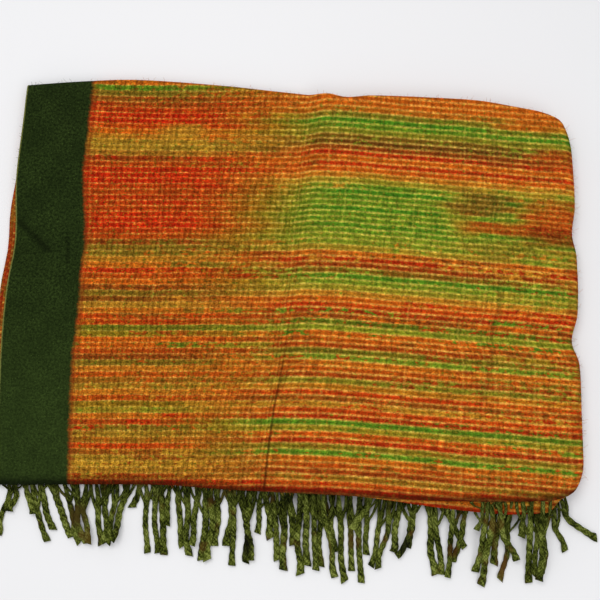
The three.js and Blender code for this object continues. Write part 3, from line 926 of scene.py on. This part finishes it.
# Each strand across the pack: where it leaves the cloth, then its cut end across and down. Those marked 1
# lie over others.
STRANDS = [
    (-338, -347, -275, 0), (-326, -335, -248, 0), (-317, -306, -251, 1), (-312, -290, -282, 0),
    (-303, -284, -269, 0), (-289, -262, -277, 0), (-275, -253, -284, 0), (-266, -244, -284, 0),
    (-249, -242, -284, 1), (-237, -228, -286, 0), (-220, -226, -285, 0), (-211, -220, -284, 0),
    (-199, -215, -280, 1), (-184, -194, -244, 0), (-179, -175, -295, 0), (-170, -163, -295, 0),
    (-162, -156, -297, 0), (-150, -153, -264, 1), (-142, -135, -288, 0), (-134, -127, -298, 0),
    (-119, -124, -286, 0), (-108, -113, -303, 0), (-101, -106, -303, 1), (-93, -98, -287, 0),
    (-79, -85, -287, 0), (-75, -78, -309, 0), (-65, -62, -306, 0), (-58, -57, -303, 1),
    (-44, -49, -273, 0), (-39, -34, -279, 0), (-32, -26, -303, 0), (-20, -19, -314, 1), (-13, -8, -286, 0),
    (-2, 0, -319, 0), (6, 8, -309, 0), (14, 18, -314, 1), (21, 24, -310, 0), (35, 39, -294, 0),
    (27, 40, -322, 0), (44, 51, -327, 1), (58, 59, -315, 0), (68, 70, -328, 0), (76, 76, -297, 0),
    (83, 59, -268, 1), (98, 81, -310, 0), (105, 89, -312, 0), (113, 107, -294, 0), (121, 110, -298, 1),
    (130, 123, -289, 0), (147, 155, -319, 0), (155, 162, -319, 0), (174, 168, -322, 1), (167, 189, -289, 0),
    (192, 174, -305, 0), (208, 201, -269, 0), (213, 200, -316, 0), (217, 206, -331, 0), (228, 222, -308, 0),
    (243, 228, -325, 0), (223, 247, -303, 1), (253, 253, -277, 0), (260, 261, -328, 0), (270, 265, -319, 0),
    (276, 271, -325, 1), (285, 275, -319, 0), (290, 304, -293, 0), (297, 341, -278, 1),
]
# Where a few strands are bent on their way.
BENT = {47: (136, -284), 66: (306, -266)}
# Lengths that took the dye darker: where they lie and their half size, in metres.
DARK_LENGTHS = [
    {"at": (-0.058, -0.256), "half": (0.008, 0.016), "dye": dye(14, 12, 5)},
    {"at": (0.125, -0.258), "half": (0.011, 0.013), "dye": dye(12, 12, 5)},
    {"at": (0.235, -0.276), "half": (0.008, 0.020), "dye": dye(84, 54, 24)},
    {"at": (0.034, -0.262), "half": (0.006, 0.018), "dye": dye(70, 44, 20)},
    {"at": (-0.250, -0.222), "half": (0.014, 0.016), "dye": dye(60, 50, 18)},
]
DARK_SHARE = 0.85


def top_station(px):
    """The station of the upper panel that lies at this place across the pack, near its fringed side."""
    found = stations[0]
    for p in stations:
        if p["under"] == 0 and outline(p["x"], 0)[0] <= px:
            found = p
    return found


def under_station(px):
    """The same on the panel that is folded under."""
    best = stations[-1]
    for p in stations:
        if p["under"] == 1 and abs(outline(p["x"], 0)[0] - px) < abs(outline(best["x"], 0)[0] - px):
            best = p
    return best


SWAY = 3.4
CELL = 1.5
CELLS = [(i, j) for i in range(-2, 3) for j in range(-2, 3)]
LONGEST_SLOPE = 0.42
HANG = 16
HIGH_HANG = 40


def plan_strands():
    """Lays the strands down one after another: each rests on the floor or on those already there."""
    heights = {}
    planned = []
    for k in sorted(range(len(STRANDS)), key=lambda k: STRANDS[k][3]):
        root_x, tip_x, tip_y, over = STRANDS[k]
        first = k % 2 == 0
        high = root_x > 16 and (over == 1 or k % 3 == 0)
        p = under_station(root_x) if root_x > 10 and not high else top_station(root_x)
        end = along(CLOTH_ENDS, p["x"] / WIDTH)
        layer = (-1.5 if first else -0.5) * LAYER
        _, root_y, root_z = folded(p, end_of(p, first) - PARTING - STRIP / 2, layer, 0)
        root_y += STRIP / 2
        if high and end < -3:
            _, root_y, root_z = folded(p, 0.6, 1.45, 0)
        free = outline(p["x"], min(0, end - PARTING - STRIP))[1]
        knee = (mix(root_x, tip_x, 0.38) + 2.2 * uneven(k + 0.4), mix(root_y, tip_y, 0.62))
        knee_x, knee_y = BENT.get(k, knee)
        places = []
        for i in range(STRAND_STEPS + 1):
            t = i / STRAND_STEPS
            x = (1 - t) ** 2 * root_x + 2 * t * (1 - t) * knee_x + t * t * tip_x
            y = (1 - t) ** 2 * root_y + 2 * t * (1 - t) * knee_y + t * t * tip_y
            wave = SWAY * uneven(k + 0.7) * math.sin(7.5 * t + 3 * uneven(k + 0.1)) * 4 * t * (1 - t)
            places.append((x + wave, y))
        bases = []
        for x, y in places:
            under = 0.0
            if y < free - 2:
                under = max(heights.get((round(x / CELL) + i, round(y / CELL) + j), 0.0) for i, j in CELLS)
            bases.append(under)
        step = abs(places[-1][1] - places[0][1]) / STRAND_STEPS
        rest = []
        for i, (x, y) in enumerate(places):
            lift = max(base - LONGEST_SLOPE * abs(i - j) * step for j, base in enumerate(bases))
            hang = (root_z - LIE) * (1 - ease((free - y) / (HIGH_HANG if high else HANG)))
            rest.append(max(lift, hang, 0.0))
        line = []
        for i, (x, y) in enumerate(places):
            near = rest[max(0, i - 2):i + 3]
            line.append(Vector((x, y, sum(near) / len(near) + LIE)))
        for spot in line:
            for i, j in CELLS:
                if spot.y < free - 2 and i * i + j * j <= 5:
                    cell = (round(spot.x / CELL) + i, round(spot.y / CELL) + j)
                    top = spot.z + LIE * (0.75 - 0.12 * (i * i + j * j))
                    heights[cell] = max(heights.get(cell, 0.0), top)
        root = Vector((root_x, root_y, root_z))
        planned.append({"seed": k + 1, "first": first, "line": line, "free": free, "root": root})
    return planned


def add_tube(bm, yarn_map, rings, lengths, seed):
    """A closed tube through these rings of points: a grid rolled round them, which keeps its own map."""
    sides = len(rings[0])
    steps = len(rings) - 1
    grid = bmesh.ops.create_grid(bm, x_segments=sides, y_segments=steps, size=1.0)["verts"]
    spots = {}
    for vert in grid:
        spots[vert] = (round((vert.co.x + 1) / 2 * sides), round((vert.co.y + 1) / 2 * steps))
    for vert, (i, j) in spots.items():
        vert.co = part_point(rings[j][i % sides])
    for face in {face for vert in grid for face in vert.link_faces}:
        face.smooth = True
        for loop in face.loops:
            i, j = spots[loop.vert]
            loop[yarn_map].uv = (i / sides, lengths[j] / TWIST + seed * 0.37)


ROOT_SIZE = 0.66
ROOT_LENGTH = 20


def wind_strand(s):
    """The rings of one strand: two plies wound round each other, slim at the root and flared at the cut."""
    line = s["line"]
    last = len(line) - 1
    phase = 3.1 * uneven(s["seed"] + 0.9)
    size = 1 + 0.13 * uneven(s["seed"] + 0.2)
    pitch = TWIST * (1 + 0.25 * uneven(s["seed"] + 0.6))
    cut = 0.7 * uneven(s["seed"] + 0.5)
    rings = []
    lengths = []
    run = 0.0
    for i, here in enumerate(line):
        if i > 0:
            run += (here - line[i - 1]).length
        way = (line[min(i + 1, last)] - line[max(i - 1, 0)]).normalized()
        side = way.cross(Vector((0, 0, 1))).normalized()
        t = i / last
        flare = ease((t - 0.80) / 0.20)
        grown = size * mix(ROOT_SIZE, 1, ease((s["free"] - here.y) / ROOT_LENGTH))
        grown *= 1 + 0.07 * noise.noise(Vector((s["seed"] * 3.7, t * 7, 0)))
        turn = phase + 2 * math.pi * run / pitch
        lobe = LOBE * (1 - 0.6 * flare)
        ring = []
        for k in range(STRAND_SIDES):
            a = 2 * math.pi * k / STRAND_SIDES
            fuzz_at = Vector((math.cos(a) * 2, math.sin(a) * 2, run * 0.9 + s["seed"] * 5))
            swelling = grown * (1 + lobe * math.cos(2 * (a - turn))) + 0.03 * noise.noise(fuzz_at)
            wide = HALF_WIDTH * (1 + 0.26 * flare) * swelling * math.cos(a)
            tall = HALF_HEIGHT * (1 - 0.12 * flare) * swelling * math.sin(a)
            slant = way * (cut * math.cos(a) * HALF_WIDTH * max(0.0, (t - 0.9) / 0.1))
            spot = here + side * wide + Vector((0, 0, tall)) + slant
            spot.z = max(spot.z, 0.0)
            ring.append(spot)
        rings.append(ring)
        lengths.append(run)
    return rings, lengths


def wind_root_yarn(s, hand):
    """The rings of one of the two thinner yarns that come out of the cloth and join in a strand."""
    spread = (3.5 + 9.5 * abs(uneven(s["seed"] * 2.3 + hand))) * hand
    start = s["root"] + Vector((spread, 0.0, 0.0))
    join = s["line"][15 + round(6 * uneven(s["seed"] * 1.7 + hand))]
    rings = []
    lengths = []
    for i in range(YARN_STEPS):
        t = i / (YARN_STEPS - 1)
        here = start.lerp(join, t)
        here.x += 0.35 * spread * math.sin(math.pi * t)
        here.z = max(here.z, 1.2 * YARN_RADIUS)
        radius = YARN_RADIUS * (1 + 0.15 * uneven(s["seed"] + i + hand))
        ring = []
        for k in range(YARN_SIDES):
            a = 2 * math.pi * k / YARN_SIDES + 0.9 * i
            ring.append(here + Vector((radius * math.cos(a), 0.2 * math.sin(a), radius * math.sin(a))))
        rings.append(ring)
        lengths.append(6.0 * i)
    return rings, lengths


def make_fringe(name, strands, material):
    """All strands of one end, each with the two yarns that it starts from."""
    bm = bmesh.new()
    yarn_map = bm.loops.layers.uv.new("yarn")
    for s in strands:
        add_tube(bm, yarn_map, *wind_strand(s), s["seed"])
        for hand in (-1, 1):
            add_tube(bm, yarn_map, *wind_root_yarn(s, hand), s["seed"] + 0.4 * hand)
    bmesh.ops.remove_doubles(bm, verts=bm.verts, dist=1e-7)
    bmesh.ops.holes_fill(bm, edges=bm.edges, sides=STRAND_SIDES)
    bmesh.ops.recalc_face_normals(bm, faces=bm.faces)
    return finish_mesh(name, bm, [material])


OLIVE_DARK = dye(22, 27, 4)
OLIVE = dye(72, 80, 24)
OLIVE_LIGHT = dye(126, 134, 64)
OLIVE_BROWN = dye(74, 44, 16)
# Colour of the painted shade at the strands' roots, under the near fold.
ROOT_SHADE = dye(14, 18, 3)


def make_twisted_wool():
    """Olive wool with the slanting lines of the spun fibres, painted shade in the groove between its two
    plies, and painted shade at the roots under the near fold.
    """
    material, tree, shader = new_wool("twisted_wool")
    yarn_map = put(tree, "UVMap", {"uv_map": "yarn"}).outputs[0]
    round_yarn, down_yarn, _ = put(tree, "SeparateXYZ", Vector=yarn_map).outputs
    place = put(tree, "TexCoord").outputs["Object"]
    patch = specks(tree, place, 55.0, 2.0)
    hair = specks(tree, place, 560.0, 3.0, 0.65)
    bend = times(tree, around(tree, specks(tree, place, 190.0, 2.0)), 9.0)

    def slanting(starts, turns):
        at = scaled(tree, down_yarn, turns, times(tree, round_yarn, starts))
        return calc(tree, "SINE", scaled(tree, at, 2 * math.pi, bend))

    ply_groove_shade_and_dip = span(tree, slanting(2.0, -2.0), -0.2, -0.95)
    fibre = slanting(6.0, 4.0)
    angle = times(tree, scaled(tree, down_yarn, -0.8, round_yarn), 2 * math.pi)
    spun_at = put(
        tree, "CombineXYZ", X=times(tree, calc(tree, "COSINE", angle), 1.7),
        Y=times(tree, calc(tree, "SINE", angle), 1.7), Z=times(tree, down_yarn, 3.2),
    )
    spun = specks(tree, spun_at.outputs[0], 1.0, 2.0, 0.6)
    tone = scaled(tree, around(tree, patch), 0.8, spun)
    tone = scaled(tree, around(tree, hair), 0.7, tone)
    tone = scaled(tree, fibre, 0.07, tone)
    # Painted shade in the groove between the two plies.
    tone = scaled(tree, ply_groove_shade_and_dip, -0.14, tone)
    colour = blend_colour(tree, span(tree, tone, 0.24, 0.50), OLIVE_DARK, OLIVE)
    colour = blend_colour(tree, span(tree, tone, 0.48, 0.80), colour, OLIVE_LIGHT)
    brown = specks(tree, place, 42.0, 2.0)
    colour = blend_colour(tree, span(tree, brown, 0.57, 0.70, 0.0, 0.6), colour, OLIVE_BROWN)
    for length in DARK_LENGTHS:
        colour = lay_dye(tree, place, colour, length, length["dye"], DARK_SHARE)
    x, y, _ = put(tree, "SeparateXYZ", Vector=place).outputs
    # Painted shade: the strands darken where they come out from under the near fold.
    under = span(tree, scaled(tree, x, 0.045, y), -0.220, -0.204, 0.0, 0.34)
    colour = blend_colour(tree, under, colour, ROOT_SHADE)
    tree.links.new(colour, shader.inputs["Base Color"])
    height = scaled(tree, fibre, 0.25, scaled(tree, ply_groove_shade_and_dip, -0.4, hair))
    bump = put(tree, "Bump", Strength=0.7, Distance=0.0008, Height=height)
    tree.links.new(bump.outputs[0], shader.inputs["Normal"])
    return material


twisted_wool = make_twisted_wool()
strands = plan_strands()
for name, first in (("fringe_first_end", True), ("fringe_second_end", False)):
    fringe = make_fringe(name + "_wool", [s for s in strands if s["first"] == first], twisted_wool)
    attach(fringe, "root")
    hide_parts(name)


# Nap: the loose wool fibres that brushing leaves standing out of the cloth, past its folds and edges and on
# its face. Each is a short bent hair that starts in the cloth.
HAIR_RADIUS = 0.16
HAIR_RINGS = 4
HAIR_SIDES = 3
# Hairs are numbered from the far folds over the end fold, the near fold and the border's edge to the face.
FAR_HAIRS = 330
END_HAIRS = 740
NEAR_HAIRS = 960
BORDER_HAIRS = 1080
ALL_HAIRS = 1500


def add_hair(bm, yarn_map, start, way, length, seed):
    """One hair from this point, bending to one side as it goes."""
    bend = way.cross(Vector((uneven(seed + 0.11), uneven(seed + 0.37), 1.4 * uneven(seed + 0.53))))
    rings = []
    for i in range(HAIR_RINGS):
        t = i / (HAIR_RINGS - 1)
        here = start + way * (length * t) + bend * (0.55 * length * t * t)
        here.z = max(here.z, HAIR_RADIUS)
        radius = HAIR_RADIUS * (1.15 - 0.5 * t)
        ring = []
        for k in range(HAIR_SIDES):
            a = 2 * math.pi * k / HAIR_SIDES
            off = Vector((radius * math.cos(a), radius * math.sin(a), radius * math.cos(a + 1.9)))
            ring.append(here + off)
        rings.append(ring)
    add_tube(bm, yarn_map, rings, [0.0] * HAIR_RINGS, 0)


def make_nap():
    """Hairs along the far folds, the end fold, the near fold, the border's edge and on the face."""
    bm = bmesh.new()
    yarn_map = bm.loops.layers.uv.new("yarn")
    upper = [p for p in stations if p["under"] == 0]
    round_end = [p for p in stations if 0 < p["under"] < 1]
    last = len(upper) - 1
    for n in range(ALL_HAIRS):
        a = (uneven(n + 0.21) + 1) / 2
        b = (uneven(n + 0.77) + 1) / 2
        sideways = 0.5 * uneven(n + 0.43)
        length = 1.6 + 5.4 * abs(uneven(n + 0.91)) ** 3
        if n < FAR_HAIRS:
            place, _ = lay(upper[round(a * last)], ("outer", 0.15 + 0.7 * b))
            way = Vector((sideways, 1, 0.3 * uneven(n)))
        elif n < END_HAIRS:
            place, _ = lay(round_end[round(a * (len(round_end) - 1))], ("top", b))
            way = Vector((1, sideways, 0.3 * uneven(n)))
            length *= 1.35
        elif n < NEAR_HAIRS:
            place, _ = lay(upper[round(a * last)], ("near", 0.2 + 0.6 * b))
            way = Vector((sideways, -1, 0.2 * uneven(n)))
            length *= 0.7
        elif n < BORDER_HAIRS:
            place, _ = lay(upper[0], ("top", b))
            way = Vector((-1, sideways, 0.3 * uneven(n)))
            length *= 0.6
        else:
            place, _ = lay(upper[round(a * last)], ("top", b))
            way = Vector((uneven(n + 0.3), uneven(n + 0.6), 0.15))
            length *= 0.55
        start = Vector(place) + Vector((0, 0, CLOTH / 2 if n >= BORDER_HAIRS else 0))
        add_hair(bm, yarn_map, start, way.normalized(), length, n)
    bmesh.ops.remove_doubles(bm, verts=bm.verts, dist=1e-7)
    bmesh.ops.holes_fill(bm, edges=bm.edges, sides=HAIR_SIDES)
    bmesh.ops.recalc_face_normals(bm, faces=bm.faces)
    return bm


def make_loose_fibre():
    """Single fibres of the cloth's wool: dark green at the border, tan and orange past it."""
    material, tree, shader = new_wool("loose_fibre")
    place = put(tree, "TexCoord").outputs["Object"]
    across = put(tree, "SeparateXYZ", Vector=place).outputs[0]
    tint = specks(tree, place, 160.0, 1.0)
    colour = blend_colour(tree, span(tree, tint, 0.4, 0.6), dye(176, 132, 62), dye(190, 92, 40))
    colour = blend_colour(tree, span(tree, across, -0.262, -0.250), dye(58, 70, 34), colour)
    tree.links.new(colour, shader.inputs["Base Color"])
    return material


nap = finish_mesh("blanket_nap", make_nap(), [make_loose_fibre()])
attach(nap, "root")
